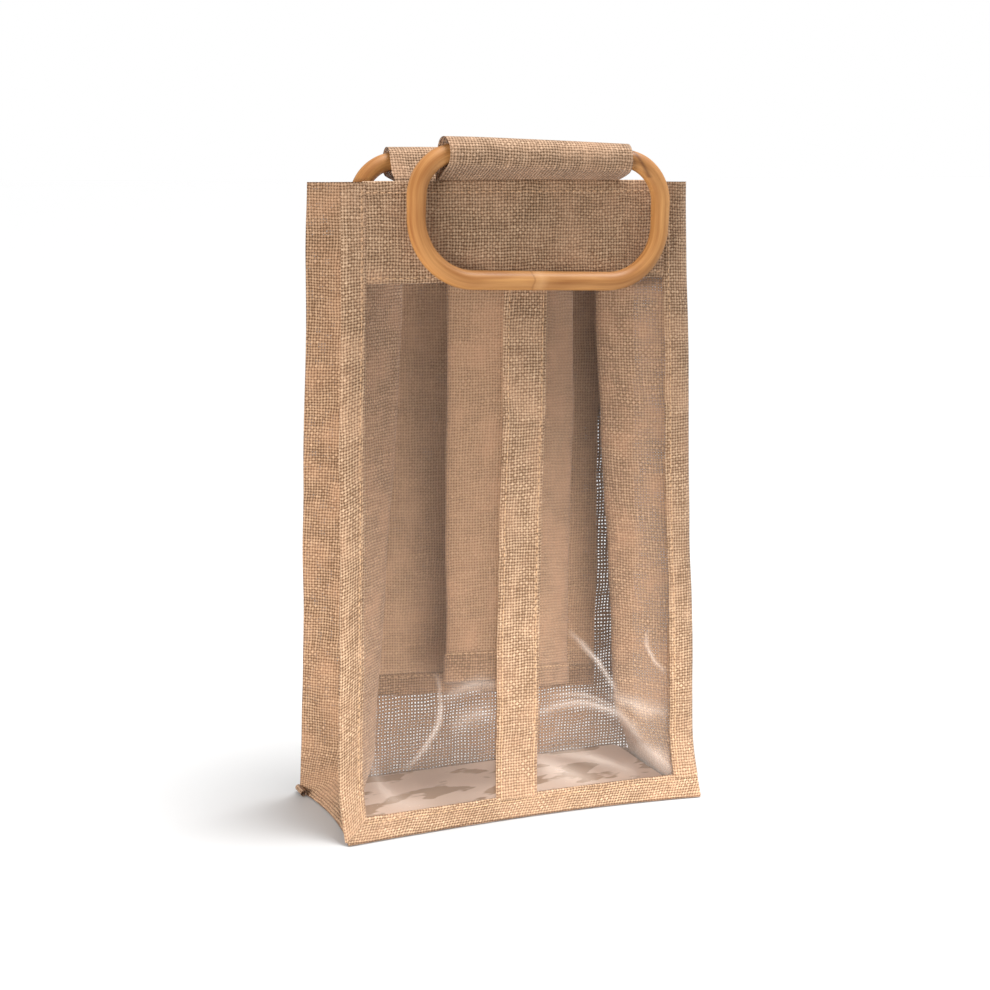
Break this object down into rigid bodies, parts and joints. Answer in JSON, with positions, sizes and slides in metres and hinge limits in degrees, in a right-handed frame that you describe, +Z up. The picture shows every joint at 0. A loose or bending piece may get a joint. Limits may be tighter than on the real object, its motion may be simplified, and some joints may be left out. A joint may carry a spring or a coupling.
{
  "type": "wine gift bag",
  "caption": "Upright open-weave jute bag for two bottles, with a clear window in a jute frame, cloth partitions, and bent-cane ring handles that swing in cloth sleeves.",
  "frame": {"origin": "middle of the underside, on the surface that the bag stands on", "axes": "+Z up, the window faces -Y, +X is to the right when facing the window"},
  "size_m": [0.2138, 0.1002, 0.374],
  "materials": {
    "jute_wall": "matt open plain weave",
    "jute_frame": "matt plain weave, folded double",
    "jute_partition": "matt plain weave",
    "jute_sleeve": "matt plain weave",
    "base_board": "matt fibre board",
    "clear_film": "clear flexible film, glossy",
    "cane": "satin lacquer"
  },
  "bodies": {
    "bag": {"back_panel": "jute_wall", "left_gusset": "jute_wall", "right_gusset": "jute_wall", "base_panel": "jute_wall", "base_board": "base_board", "front_top_band": "jute_frame", "front_bottom_band": "jute_frame", "front_left_strip": "jute_frame", "front_right_strip": "jute_frame", "front_centre_strip": "jute_frame", "window_sheet": "clear_film", "divider_left": "jute_partition", "divider_right": "jute_partition", "back_lining": "jute_partition", "front_handle_sleeve": "jute_sleeve", "rear_handle_sleeve": "jute_sleeve"},
    "front_handle": {"front_cane_handle": "cane"},
    "rear_handle": {"rear_cane_handle": "cane"}
  },
  "joints": [
    {"name": "front_handle_swing", "type": "hinge", "parent": "bag", "child": "front_handle", "pos_m": [0.0086, -0.0416, 0.3638], "axis": [-0.9995, 0, 0.0314], "range_deg": [0, 210]},
    {"name": "rear_handle_swing", "type": "hinge", "parent": "bag", "child": "rear_handle", "pos_m": [0.003, 0.0416, 0.361], "axis": [1, 0, 0], "range_deg": [0, 210]}
  ]
}
